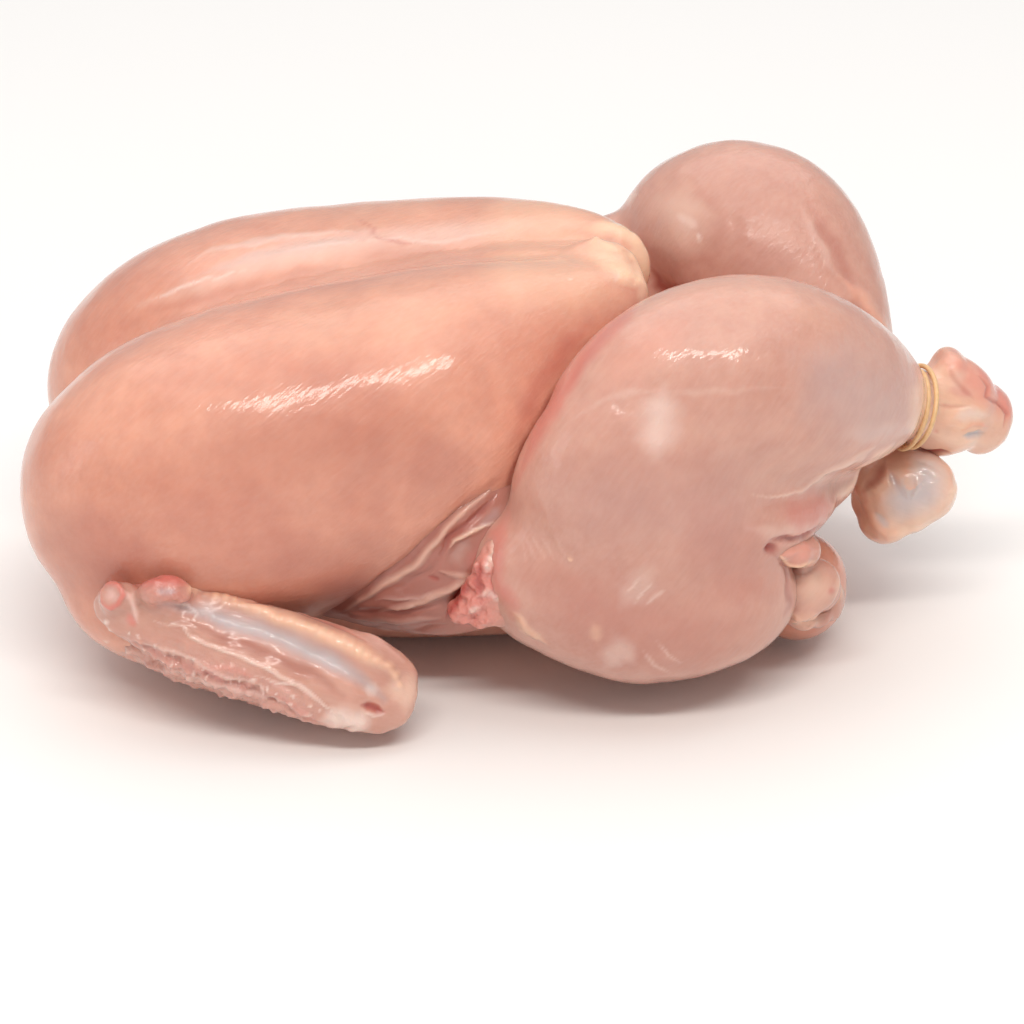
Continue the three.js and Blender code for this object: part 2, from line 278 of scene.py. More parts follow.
# Tendons, painted sheen and highlight spots, painted shade along the lower leg and in its grooves, the
# reddened edge, and at the rear a crease that ends in a small hole, darkened with painted shade.
NEAR_LEG_MARKS = [
    mark([-1.5, 0.5, -3.5, -5.5, -4.5, -12, -3, -18, 0, -23, 0, -27], 3.4, 0.2, raw=0.5, blood=0.15),
    mark([12, 20.5, 22, 27.5, 32, 30, 46.5, 30, 69, 31], 1.5, 0.08, film=0.18),
    # A painted highlight: a soft white patch.
    mark([38, 31.5, 36.5, 23, 35.5, 13], 8, film=0.6),
    mark([59.5, 5, 63.5, 4, 69, 4, 73, 5.5, 75.5, 7.5, 78, 10, 84, 12.5, 90.5, 16.5], 0.9, 0.35, film=0.4,
         fat=0.2),
    # Painted shade in the groove under the arc line and behind it, here and in the next mark.
    mark([60.5, 2, 69, 1.5, 74.5, 3.5, 79.5, 7.5], 3.2, -0.35, raw=0.1, shade=0.22),
    mark([66.5, -1.5, 73, -1, 80.5, 3], 8, raw=0.4, shade=0.35),
    mark([79.5, 1.5, 83, 5.5, 87, 9.5, 91.5, 14, 97.5, 18], 1.8, 0.4, fat=0.45, film=0.35),
    # The rear crease and its hole, darkened with painted shade and blood, here and in the next two marks.
    mark([77.5, -3, 75, -4.5, 72.5, -6, 70, -7, 66, -7.5, 63, -7.5], 1.2, -1.3, blood=0.55, shade=0.5),
    mark([64.5, -9.5], 1.9, -2, blood=0.9, shade=0.6),
    mark([64, -10, 66, -12, 68, -14.5, 69, -19, 69, -23, 67.5, -26], 1.3, -0.3, shade=0.6, blood=0.15),
    mark([58, -3.5, 66.5, -6, 73, -4, 77, -1], 2.6, 0.25, film=0.25),
    # Painted shade along the lower leg.
    mark([4.5, -17, 32, -29.5, 61.5, -29.5], 18, shade=0.42, raw=0.06),
    # Painted highlights low on the thigh: broken patches and thin white streaks, in this mark and the six
    # after it.
    mark([27.5, -23.5, 31, -19, 35, -14], 6, film=0.3, ragged=0.3),
    mark([28.5, -21.5, 30, -18, 32.5, -15.5], 0.9, 0.15, film=0.6),
    mark([30.5, -23.5, 32.5, -20, 35.5, -17], 0.8, 0.15, film=0.6),
    mark([33, -24, 35, -21.5, 38, -19.5], 0.8, 0.15, film=0.45),
    mark([23, -39, 26.5, -34, 30, -37.5], 4.5, film=0.4, ragged=0.3),
    mark([32, -34, 35, -38, 39, -40], 0.8, 0.12, film=0.35),
    mark([35.5, -32, 39, -36, 42.5, -38], 0.8, 0.12, film=0.35),
    mark([28, -12, 37, -22, 32, -32], 9, ragged=0.12),
    mark([0, -25, 2.5, -28.5, 8, -32.5], 1.5, 0.4, fat=0.5, ragged=0.4),
    mark([20, -27.5, 21.5, -32.5], 2, 0.3, fat=0.3),
    mark([3, -6, 6, -12.5], 0.7, 0.12, film=0.16),
    mark([5, -6, 8.5, -12.5], 0.7, 0.12, film=0.16),
    mark([7, -5.5, 11, -12], 0.7, 0.12, film=0.14),
    mark([9.5, -5, 13.5, -11], 0.7, 0.1, film=0.12),
    mark([2, -8, 4, -13.5], 0.7, 0.12, film=0.14),
    mark([7, 8, 22, 3, 46.5, 3, 64, 15.5], 19, shade=0.26, bone=0.1),
    mark([44, 3, 55.5, -12, 58, -27], 19, shade=0.38, raw=0.1),
    mark([32, 52.5, 46.5, 55.5, 69, 52.5, 89, 42.5], 8, blood=0.05, fat=0.12),
    mark([71.5, 38, 87.5, 29, 96.5, 20.5], 19, shade=0.13, bone=0.3),
    mark([22, 30.5, 32, 40.5, 44, 47.5], 9, raw=0.24, fat=0.1),
    mark([35.5, 59.5, 26.5, 48, 15.5, 35.5, 7, 21.5, 0, 5.5], 3.6, raw=0.55, blood=0.25),
    mark([81.5, 19, 89, 20, 96.5, 21], 4, bone=0.25, film=0.2),
    mark([14.5, -11.5], 0.8, 0.3, fat=0.8),
    mark([103, 35, 103, 25.5, 101.5, 16], 6, fat=0.7, film=0.3),
    mark([32, 39, 37.5, 40], 7, dry=0.8),
]
# The crease down the far drumstick with its fat and painted shade, the crease by the keel tip with painted
# shade and painted light, and a painted highlight on its left.
FAR_LEG_MARKS = [
    mark([54, 77.5, 66.5, 70, 81.5, 52.5], 16, dry=0.85),
    # Painted shade in the crease down the drumstick.
    mark([74, 77.5, 78.5, 69, 83, 60.5, 85.5, 52.5], 2.6, -0.25, blood=0.12, shade=0.22),
    mark([72, 76, 76.5, 67, 80.5, 59], 1.8, 0.15, film=0.25),
    mark([81, 59, 85, 54.5, 90, 50, 94.5, 40.5], 2.4, 0.6, raw=0.35, fat=0.3),
    mark([83, 53, 88, 48, 93, 40.5], 1.8, -0.5, blood=0.3),
    # Painted shade in the crease between the far leg and the keel tip.
    mark([35, 61, 36.5, 56.5, 40, 54.5, 45.5, 57], 2.2, blood=0.4, shade=0.6),
    # Painted light: membrane colour that lightens the shade next to the keel tip.
    mark([23, 75, 27.5, 77.5, 31, 79], 2, film=0.6, fat=0.3),
    mark([37, 70, 51.5, 65, 71.5, 62.5], 12, blood=0.06, shade=0.12),
    mark([44, 80, 41.5, 71.5, 39.5, 62.5], 12, fat=0.2, film=0.4),
    # A painted highlight: a short streak and a spot.
    mark([40.5, 73.5, 43.5, 72.5, 46.5, 70.5], 2.4, film=0.9),
    mark([46, 68, 47.5, 69], 2.2, film=1),
]
# The tendon groove under the follicles, darkened with painted shade, torn membranes below it with painted
# glints, and the cut ends.
WING_MARKS = [
    mark([-102.5, -32, -87.5, -37.5, -70, -43.5, -52.5, -51, -40.5, -55.5], 9.5, film=0.15, raw=0.2,
         shade=0.15, ragged=1.1),
    mark([-77, -19, -62.5, -19.5, -52.5, -21.5, -42, -25.5, -34, -31, -27, -37.5], 2.2, 0.4, raw=0.25,
         film=0.45),
    mark([-72, -22, -59, -23, -45, -27.5, -35.5, -33], 0.9, -0.4, raw=0.35, shade=0.3),
    mark([-67.5, -19, -52.5, -21.5, -41.5, -26], 0.6, 0.25, film=0.4),
    mark([-76.5, -20.5, -67, -23, -55.5, -27, -45.5, -31, -37, -35, -30.5, -39, -27, -43.5], 2.9, 0.7,
         fat=0.7),
    # The groove: grey bone with painted shade, with more painted shade below it in the next mark.
    mark([-87.5, -23, -76, -25, -67, -28, -55.5, -32, -47, -36, -38.5, -40.5, -31.5, -46.5], 4.2, -1.2,
         bone=0.8, shade=0.5, dry=0.6),
    mark([-80.5, -27.5, -69, -32, -59, -36, -49, -40.5, -42, -46], 3.4, -0.5, shade=0.6),
    mark([-89, -27, -85, -28.5, -82, -28.5, -80, -31, -74.5, -33, -69, -35.5, -62.5, -38.5, -55.5, -41.5,
         -51, -45, -47, -48, -43.5, -50], 0.7, 0.5, film=0.7, fat=0.1),
    # A crease with painted shade.
    mark([-101.5, -30, -90, -34.5, -75, -41, -62.5, -45, -52.5, -50.5], 1.4, -0.6, shade=0.4, blood=0.15),
    mark([-95, -32, -83.5, -35, -72, -40.5, -60, -44], 0.9, 0.4, film=0.5),
    mark([-64.5, -41, -52.5, -43, -46, -48.5, -41, -51], 0.6, 0.4, film=0.8),
    mark([-80, -38, -67.5, -39.5, -62, -43], 1.6, 0.2, raw=0.4),
    mark([-61, -44, -52.5, -49.5, -47, -53.5], 1.8, 0.2, raw=0.45),
    mark([-83.5, -23.5, -81, -23, -78.5, -25, -80, -27.5], 0.7, 0.3, film=0.8),
    mark([-78.5, -39, -74, -40.5, -70.5, -42.5], 1.6, raw=0.5, blood=0.2),
    mark([-62, -41.5, -57.5, -43, -52.5, -47], 1.2, 0.3, raw=0.4, film=0.3),
    mark([-97.5, -35.5, -87.5, -39, -74, -42.5, -59, -46.5, -47.5, -52.5], 1, 0.4, film=0.5, raw=0.2),
    mark([-96.5, -19, -94.5, -21.5, -93.5, -24.5, -92.5, -27.5], 1.2, 0.5, film=0.6, raw=0.3),
    mark([-95.5, -25, -93.5, -28.5], 2.2, raw=0.7),
    # A painted glint on the membranes near the elbow.
    mark([-48, -52, -42.5, -51, -38, -52, -40.5, -55.5], 4.4, 0.3, film=1, ragged=0.8),
    mark([-37.5, -48, -34.5, -48.5, -31.5, -49.5], 1.7, -1.2, blood=0.7, raw=0.6),
    mark([-38, -49.5, -34.5, -50.5, -31, -49.5], 0.8, 0.4, film=0.7),
    mark([-31.5, -44, -25.5, -44, -26.5, -49.5], 5, fat=0.3, film=0.4),
    mark([-36.5, -44, -33, -44], 2.6, film=0.6),
    mark([-102, -20.5, -101.5, -18.5, -99.5, -17.5, -97.5, -18, -96.5, -20.5, -97.5, -22.5, -99.5, -23.5,
         -101.5, -22.5, -102, -20.5], 1.2, 0.7, raw=0.75, blood=0.15),
    mark([-99.5, -20.5], 2.6, -0.6, raw=0.4, film=0.5),
    mark([-93, -18.5, -89.5, -16.5, -84.5, -16, -80.5, -18], 4.4, 0.2, blood=0.35, raw=0.9),
    mark([-88.5, -20, -86, -19.5, -83.5, -19.5], 1.6, bone=0.5, shade=0.6),
    mark([-93, -19, -86, -20, -79, -22], 6.5, raw=0.35, ragged=0.7),
    mark([-81, -18.5, -78, -19.5], 2.6, 0.4, fat=0.6),
    # Two painted glints at the front end.
    mark([-106, -23], 1, 0.3, film=1),
    mark([-100.5, -27.5], 1, 0.3, film=1),
]
# Where the feather follicles stand in a row, and rows of painted glints where shreds of membrane catch the
# light.
FOLLICLE_LINE = [-75.5, -21, -67, -23, -55.5, -26.5, -45.5, -30.5, -37, -34.5, -30.5, -38.5, -27.5, -42.5]
UPPER_GLINTS = [-100.5, -29, -87.5, -34.5, -72.5, -40.5, -57.5, -45, -45, -50.5]
LOWER_GLINTS = [-97.5, -33.5, -80, -39, -65, -43.5, -50, -50.5]
# The red cut rim, gristle, a slit over the bone, and painted shade in the crease below the hock.
NEAR_HOCK_MARKS = [
    mark([104, 35, 107.5, 33, 112.5, 34], 4.5, fat=0.35, film=0.4),
    mark([108.5, 40.5, 112, 39.5, 114.5, 37.5], 2.2, raw=0.6),
    mark([113, 38, 117.5, 33.5, 120, 31, 122, 28, 123.5, 24, 123, 20], 2.8, 0.2, raw=0.75),
    mark([116, 33.5, 118, 31, 118, 28.5, 120.5, 27.5, 122.5, 24.5, 122, 21], 0.8, -0.5, blood=0.4,
         raw=0.5),
    mark([106.5, 39, 112.5, 35, 118.5, 30, 121, 24], 7.5, raw=0.6),
    mark([108.5, 36.5, 111, 31.5, 115, 28], 1.2, blood=0.3),
    mark([108, 30.5, 112, 30, 115.5, 29.5], 2.6, raw=0.45, bone=0.1),
    mark([105.5, 27, 109, 26, 114, 26], 0.9, -0.3, raw=0.2, shade=0.2),
    mark([110, 23.5, 114, 24.5, 118, 24], 2.4, 0.3, film=0.5, bone=0.25, fat=0.2),
    mark([112, 20.5, 114.5, 22, 118.5, 21], 0.8, 0.4, raw=0.5, fat=0.3),
    # The slit, grey with painted shade.
    mark([112.5, 19, 115, 19, 117.5, 19.5], 1.4, -0.8, bone=0.9, shade=0.4),
    mark([102.5, 20.5, 107.5, 18, 117.5, 17, 122, 18.5], 2.8, 0.1, fat=0.3, film=0.3),
    # Painted shade with blood red in the crease below the hock.
    mark([98, 16, 103, 15, 106.5, 15, 109, 14.5], 0.9, -0.8, blood=0.6, shade=0.8),
    mark([105.5, 20], 0.9, -0.3, raw=0.6),
]
# Bare grey bone end with a rim of fat, painted shade in a groove across it, and a painted shadow between it
# and the near drumstick.
FAR_HOCK_MARKS = [
    mark([95.5, 8.5, 98, 3, 101.5, 4.5, 102.5, 9, 98.5, 7], 9, bone=0.85, film=0.55),
    mark([99.5, 12.5, 104, 10.5, 106, 7.5], 4.5, fat=0.5, film=0.6),
    # Painted shade in a groove across the bone.
    mark([93.5, 10.5, 96, 5.5, 98, 3], 1.6, -0.5, bone=0.6, shade=0.4),
    mark([100.5, 9, 101, 6, 99.5, 3], 0.9, 0.4, film=0.6),
    mark([102.5, 8, 104.5, 3.5], 3, 0.2, raw=0.25, bone=0.2),
    mark([85, 8.5, 87, 4, 88.5, 0.5, 90.5, -3, 93.5, -7], 2, 0.4, raw=0.45, fat=0.6, blood=0.12),
    mark([87, 6, 88.5, 1.5], 1.2, raw=0.6, blood=0.2),
    mark([90.5, 0, 94, -4], 1.6, -0.3, bone=0.5, film=0.4),
    mark([99.5, 14, 103.5, 13.5, 107, 12.5, 109.5, 10, 109, 6], 2.2, 0.3, raw=0.45, fat=0.55),
    mark([100.5, 12, 103.5, 10.5, 106.5, 8.5], 1.6, 0.4, fat=0.8, film=0.6),
    mark([94, -6, 97.5, -5, 102.5, -2.5, 106, 0], 2.6, 0.2, fat=0.6, film=0.3),
    # A painted shadow between the near drumstick and the far hock.
    mark([92.5, 12.5, 90.5, 8.5, 87.5, 5.5], 2.2, -0.3, blood=0.25, shade=0.55),
]
# A flap of orange-pink meat with a pale edge, over lobes of fat, with painted shade along the crease at the
# lobe's edge and under the flap.
REAR_FAT_MARKS = [
    # Painted shade along the crease at the edge of the lobe.
    mark([69, -13, 71.5, -19.5, 69, -25], 4, shade=0.3),
    mark([75, -19], 8, fat=0.3, film=0.2),
    mark([79, -19.5], 1.4, blood=0.3, raw=0.6),
    mark([81, -15.5, 81.5, -19.5, 80.5, -22.5], 2, fat=0.4),
    mark([64, -8.5, 69.5, -10, 76, -9], 6, raw=0.6, fat=0.15),
    mark([65.5, -10, 68.5, -13, 71.5, -13.5, 75.5, -12], 0.9, 0.3, fat=0.9),
    # Painted shade in a crease under the flap.
    mark([69.5, -15, 73, -15.5, 76, -13.5], 1, -0.3, shade=0.35),
    mark([68.5, -25.5, 73, -28, 78, -25.5], 3.2, fat=0.45, raw=0.2, film=0.2, ragged=0.5),
]

# Layers are paint. Ragged flesh crumples and is torn into fibres, and dry flesh lacks the moist film.
# Shade paints shade in creases, grooves and gaps and on the lower sides, and darkens some meat; film paints
# whitish membrane, and also painted highlights and glints.
LAYERS = ("shade", "raw", "film", "fat", "bone", "blood")
FINISHES = ("ragged", "dry")

# The shares of its width and strength that a mark keeps at its ends, and how far it wanders, in mm.
END_WIDTH = 0.35
END_STRENGTH = 0.3
WANDER = 0.5


# ---- Surfaces ----

# The first and last rings of an ellipsoid lie this close to its poles, in radians.
POLE_GAP = 0.01

# The random lattices repeat after this many corners.
LATTICE = 32


def bezier(spine, t):
    """Points at t on the cubic Bezier curve of four points: the Bernstein weights times the points."""
    p = np.array(spine, float)
    weights = np.stack([(1 - t) ** 3, 3 * t * (1 - t) ** 2, 3 * t**2 * (1 - t), t**3], -1)
    return weights @ p


def bezier_tangent(spine, t):
    """Unit directions at t: the quadratic Bezier curve of the steps between the four points."""
    step = np.diff(np.array(spine, float), axis=0)
    weights = np.stack([(1 - t) ** 2, 2 * t * (1 - t), t**2], -1)
    return unit(weights @ step)


def unit(vectors):
    return vectors / np.maximum(np.linalg.norm(vectors, axis=-1, keepdims=True), 1e-9)


def eased(share):
    """A share from 0 to 1 that starts and stops softly: 3 share squared less 2 share cubed."""
    return share * share * (3 - 2 * share)


def smooth_stations(values, t):
    """A Catmull-Rom cubic through evenly spaced values, whose ends carry on in a straight line."""
    v = np.array(values, float)
    v = np.concatenate([[2 * v[0] - v[1]], v, [2 * v[-1] - v[-2]]])
    x = np.clip(t, 0, 1) * (len(values) - 1)
    i = np.minimum(x.astype(int), len(values) - 2)
    f = x - i
    a, b, c, d = v[i], v[i + 1], v[i + 2], v[i + 3]
    return b + 0.5 * f * (c - a + f * (2 * a - 5 * b + 4 * c - d + f * (3 * (b - c) + d - a)))


def power(value, exponent):
    return np.sign(value) * np.abs(value) ** exponent


def muscle_surface(form, rows=56, columns=44):
    """A muscle on a grid of latitude by turn. The ring at latitude a lies at s = cos(a) to the power
    2 / blunt along the spine and swells by sin(a) to the same power; a turn b gives the superellipse
    (cos b, sin b) to the power 2 / square, times the half sizes there."""
    a = np.linspace(POLE_GAP, pi - POLE_GAP, rows)
    b = np.arange(columns) * 2 * pi / columns
    t = (1 - power(np.cos(a), 2 / form["blunt"])) / 2
    swell = np.sin(a) ** (2 / form["blunt"])
    tangent = bezier_tangent(form["spine"], t)
    across_y = np.array([0.0, 1.0, 0.0])
    side = -unit(across_y - (tangent @ across_y)[:, None] * tangent)
    top = np.cross(side, tangent)
    roll = radians(form["lean"])
    side, top = side * cos(roll) - top * sin(roll), top * cos(roll) + side * sin(roll)
    width = (swell * smooth_stations(form["across"], t))[:, None] * side
    depth = (swell * smooth_stations(form["deep"], t))[:, None] * top
    out = (power(np.cos(b), 2 / form["square"])[None, :, None] * width[:, None]
           + power(np.sin(b), 2 / form["square"])[None, :, None] * depth[:, None])
    return bezier(form["spine"], t)[:, None] + out


def lump_surface(lump, rows=24, columns=28):
    """An ellipsoid on a grid of latitude by turn: its middle plus (sin a cos b, sin a sin b, cos a) times
    its half sizes."""
    middle, half = lump
    a = np.linspace(POLE_GAP, pi - POLE_GAP, rows)[:, None]
    b = (np.arange(columns) * 2 * pi / columns)[None]
    ball = np.stack([np.sin(a) * np.cos(b), np.sin(a) * np.sin(b), np.cos(a) * np.ones_like(b)], -1)
    return np.array(middle) + ball * half


def far_side(form):
    """The mirror image of a muscle or a lump, on the bird's left."""
    if isinstance(form, dict):
        return dict(form, spine=[(x, -y, z) for x, y, z in form["spine"]], lean=-form["lean"])
    (x, y, z), half = form
    return (x, -y, z), half


def closed_faces(rows, columns):
    """The faces of a grid of rings, facing out: quads between the rings and a flat cap at each end."""
    at = np.arange(rows * columns).reshape(rows, columns)
    after = np.roll(at, -1, axis=1)
    quads = np.stack([at[:-1], at[1:], after[1:], after[:-1]], -1).reshape(-1, 4)
    return quads.tolist() + [at[0].tolist(), at[-1, ::-1].tolist()]


def taken(points, faces, kind, **settings):
    """The points and quads that one modifier makes of a shape, all of it in mm."""
    mesh = bpy.data.meshes.new("shape")
    mesh.from_pydata(points.tolist(), [], faces)
    work = bpy.data.objects.new("shape", mesh)
    bpy.context.scene.collection.objects.link(work)
    modifier = work.modifiers.new("shape", kind)
    for name, value in settings.items():
        setattr(modifier, name, value)
    made = bpy.data.meshes.new_from_object(work.evaluated_get(bpy.context.evaluated_depsgraph_get()))
    new_points = np.empty(len(made.vertices) * 3, np.float32)
    made.vertices.foreach_get("co", new_points)
    corners = np.empty(len(made.loops), np.int32)
    made.loops.foreach_get("vertex_index", corners)
    bpy.data.objects.remove(work)
    bpy.data.meshes.remove(mesh)
    bpy.data.meshes.remove(made)
    return new_points.reshape(-1, 3).astype(float), corners.reshape(-1, 4).astype(int)


def fused(forms, voxel):
    """One closed skin round overlapping forms, remeshed on cubes of `voxel` mm."""
    points, faces, start = [], [], 0
    for form in forms:
        grid = muscle_surface(form) if isinstance(form, dict) else lump_surface(form)
        rows, columns = grid.shape[:2]
        faces += [[corner + start for corner in face] for face in closed_faces(rows, columns)]
        points.append(grid.reshape(-1, 3))
        start += rows * columns
    return taken(np.concatenate(points), faces, "REMESH", mode="VOXEL", voxel_size=voxel)


def picture(points):
    """Where points show in the picture plane: their right and up shares of the way to the camera."""
    d = points - TARGET
    depth = (DISTANCE - d @ BACK) / DISTANCE
    return np.stack([d @ RIGHT / depth, d @ UP / depth], -1)


def from_line(at, line):
    """Each point's distance from a line of points, the least over its straight stretches, and how near
    that place is to an end of the line: 0 there and 1 at a quarter of its length."""
    if len(line) == 1:
        return np.linalg.norm(at - line[0], axis=1), np.ones(len(at))
    start, way = line[:-1], np.diff(line, axis=0)
    length = np.linalg.norm(way, axis=1)
    part = np.clip(np.einsum("pmk,mk->pm", at[:, None] - start, way) / length**2, 0, 1)
    away = np.linalg.norm(at[:, None] - start - part[..., None] * way, axis=2)
    each, nearest = np.arange(len(at)), away.argmin(1)
    along = (np.cumsum(length) - length + part * length)[each, nearest] / length.sum()
    return away[each, nearest], np.clip(4 * np.minimum(along, 1 - along), 0, 1)


def unevenness(points, grain, seed):
    """Smooth random values from -1 to 1: a cubic lattice `grain` mm apart, eased between its corners."""
    lattice = np.random.default_rng(seed).uniform(-1, 1, (LATTICE, LATTICE, LATTICE))
    cell = points / grain
    low = np.floor(cell).astype(int)
    part = eased(cell - low)
    total = np.zeros(len(points))
    for corner in product((0, 1), repeat=3):
        weight = np.where(corner, part, 1 - part).prod(1)
        total += weight * lattice[tuple(((low + corner) % LATTICE).T)]
    return total


class Skin:
    """A closed skin of quads in mm, with painted layers from 0 to 1 at its points."""

    def __init__(self, points, quads):
        self.points, self.quads = points, quads
        self.start = quads.ravel()
        self.end = np.roll(quads, -1, axis=1).ravel()
        self.count = np.maximum(np.bincount(self.start, minlength=len(points)), 1)[:, None]
        self.layers = {name: np.zeros(len(points)) for name in (*LAYERS, *FINISHES)}

    def gathered(self, values, index):
        return np.stack([np.bincount(index, values[:, k], len(self.points)) for k in range(3)], -1)

    def normals(self):
        """Outward directions: the cross products of the quads' diagonals, added up at their corners."""
        p = self.points[self.quads]
        face = np.cross(p[:, 2] - p[:, 0], p[:, 3] - p[:, 1])
        return unit(self.gathered(np.repeat(face, 4, axis=0), self.start))

    def relax(self, times, strength=0.5, fill=False, until=None):
        """Moves each point towards the mean of its neighbours, with fill only where that is outwards,
        so that a crease fills up like webbed flesh. Past the X of `until` it fades out in 10 mm."""
        for _ in range(times):
            move = self.gathered(self.points[self.end], self.start) / self.count - self.points
            if fill:
                move *= ((move * self.normals()).sum(1) > 0)[:, None]
            if until is not None:
                move *= np.clip(1 - (self.points[:, :1] - until) / 10, 0, 1)
            self.points = self.points + strength * move
        return self

    def divided(self):
        """The same skin with each quad divided once, on a Catmull-Clark surface."""
        return Skin(*taken(self.points, self.quads.tolist(), "SUBSURF", levels=1, render_levels=1))

    def lift(self, height):
        self.points = self.points + self.normals() * height[:, None]
        return self

    def uneven(self, *waves):
        """Adds slow waves of height: each has an amount, a grain and a seed."""
        for amount, grain, seed in waves:
            self.lift(amount * unevenness(self.points, grain, seed))
        return self

    def draw(self, marks, far=False, wander=WANDER, rim=0.2):
        """Adds marks where they show to the camera, or to its mirror image on the far side, fading over
        a rim where the skin turns away. Each fades from its line to its half width, thins out to its
        ends, and wanders a little as flesh does. What is ragged crumples too."""
        flip = np.array([1, -1, 1]) if far else np.ones(3)
        points, facing = self.points * flip, (self.normals() * flip) @ BACK
        at = picture(points)
        at = at + wander * np.stack([unevenness(points, 4, seed=11), unevenness(points, 4, seed=12)], -1)
        seen = np.clip(facing / rim + 0.5, 0, 1)
        height = np.zeros(len(points))
        for m in marks:
            line = m["line"]
            low, high = line.min(0) - m["half"], line.max(0) + m["half"]
            near = np.flatnonzero(((at > low) & (at < high)).all(1) & (seen > 0))
            away, inner = from_line(at[near], line)
            half = m["half"] * (END_WIDTH + (1 - END_WIDTH) * inner)
            strength = END_STRENGTH + (1 - END_STRENGTH) * inner
            fade = eased(np.clip(1 - away / half, 0, 1)) * strength * seen[near]
            height[near] += m["lift"] * fade
            for layer, amount in m["paint"].items():
                self.layers[layer][near] = np.maximum(self.layers[layer][near], amount * fade)
        crumple = 0.8 * unevenness(points, 2.2, seed=21) + 0.5 * unevenness(points, 1.1, seed=22)
        return self.lift(height + self.layers["ragged"] * crumple)

    def rested(self):
        """Flattens what would sink into the ground."""
        self.points[:, 2] = np.maximum(self.points[:, 2], 0)
        return self


def grown(forms, voxel, fills, relaxes, until=None):
    """A skin fused round forms, its creases filled up and its surface smoothed so many times, divided."""
    return Skin(*fused(forms, voxel)).relax(fills, fill=True, until=until).relax(relaxes).divided()


def beads(line, gap, half, lift, **paint):
    """Marks in a row along a line, `gap` mm apart."""
    line = np.reshape(line, (-1, 2)).astype(float)
    reach = np.concatenate([[0], np.cumsum(np.linalg.norm(np.diff(line, axis=0), axis=1))])
    at = np.arange(gap / 2, reach[-1], gap)
    spots = np.stack([np.interp(at, reach, line[:, k]) for k in range(2)], -1)
    return [mark(spot, half, lift, **paint) for spot in spots]


def mesh_piece(name, points, quads, material, node):
    """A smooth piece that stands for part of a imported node, in metres, riding on the root."""
    mesh = bpy.data.meshes.new(name)
    mesh.vertices.add(len(points))
    mesh.vertices.foreach_set("co", (points * MM).astype(np.float32).ravel())
    mesh.loops.add(quads.size)
    mesh.loops.foreach_set("vertex_index", quads.astype(np.int32).ravel())
    mesh.polygons.add(len(quads))
    mesh.polygons.foreach_set("loop_start", np.arange(0, quads.size, 4, dtype=np.int32))
    mesh.polygons.foreach_set("use_smooth", np.ones(len(quads), bool))
    mesh.update(calc_edges=True)
    mesh.materials.append(material)
    piece = bpy.data.objects.new(name, mesh)
    bpy.context.scene.collection.objects.link(piece)
    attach(piece, "root")
    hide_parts(node)
    return piece


def flesh_piece(name, skin, material):
    """A piece of the bird, with its painted layers as attributes of its points."""
    piece = mesh_piece(name, skin.points, skin.quads, material, "chicken")
    for layer in skin.layers:
        attribute = piece.data.attributes.new(layer, "FLOAT", "POINT")
        attribute.data.foreach_set("value", skin.layers[layer].astype(np.float32))
    return piece


# ---- The band ----

BAND_CENTRE = np.array([95.5, -15, 59.5])
BAND_NORMAL = unit(np.array([0.93, 0.15, -0.33]))
BAND_UP = unit(np.array([0, 0, 1.0]) - BAND_NORMAL[2] * BAND_NORMAL)
BAND_FRONT = np.cross(BAND_NORMAL, BAND_UP)


def band_half(band):
    """Half of the band's width and height in mm."""
    return band.half_width / MM, band.half_height / MM


def band_path(t, half, apart, over):
    """Points at t on a closed path twice round an ellipse: at a turn w = 2 pi t they lie at 2 w on the
    ellipse, `over` sin w outside it and `apart` / 2 cos w to its side."""
    turn = 2 * pi * t[:, None]
    out = over * np.sin(turn)
    return (BAND_CENTRE + BAND_FRONT * (half[0] + out) * np.cos(2 * turn)
            + BAND_UP * (half[1] + out) * np.sin(2 * turn) + BAND_NORMAL * apart / 2 * np.cos(turn))


def pinched(skin, band, width=5.0, ease=0.2, reached=2.2, fading=0.4):
    """Pulls flesh in under the band: near its plane, what lies outside the ellipse moves onto it, but not
    what lies farther out than `reached` times its size."""
    half = band_half(band)
    d = skin.points - BAND_CENTRE
    side, up, along = d @ BAND_FRONT, d @ BAND_UP, d @ BAND_NORMAL
    reach = np.hypot(side / (half[0] - ease), up / (half[1] - ease))
    hold = eased(np.clip(1 - np.abs(along) / width, 0, 1))
    close = np.clip((reached - reach) / fading, 0, 1)
    move = np.where(reach > 1, (1 / np.maximum(reach, 1e-6) - 1) * hold * close, 0)
    skin.points = skin.points + move[:, None] * (side[:, None] * BAND_FRONT + up[:, None] * BAND_UP)
    return skin


# ---- Materials ----

# Sockets of a Mix node that mixes colours, by number, as several of them share a name.
MIX_SHARE, MIX_A, MIX_B, MIX_COLOUR = 0, 6, 7, 2


def linear(code):
    """The linear colour of an sRGB hex code."""
    value = np.array([int(code[i:i + 2], 16) for i in (1, 3, 5)]) / 255
    return tuple(np.where(value <= 0.04045, value / 12.92, ((value + 0.055) / 1.055) ** 2.4).tolist())


def add(tree, kind, inputs=None, **settings):
    """Adds a node. Its inputs are values, or the sockets that feed them, by name or number."""
    node = tree.nodes.new(kind)
    for name, value in settings.items():
        setattr(node, name, value)
    for name, value in (inputs or {}).items():
        if isinstance(value, bpy.types.NodeSocket):
            tree.links.new(value, node.inputs[name])
        else:
            node.inputs[name].default_value = value
    return node


def bare_material(name):
    """A material with only its output, and its node tree."""
    material = bpy.data.materials.new(name)
    material.use_nodes = True
    tree = material.node_tree
    tree.nodes.clear()
    return material, tree, tree.nodes.new("ShaderNodeOutputMaterial")


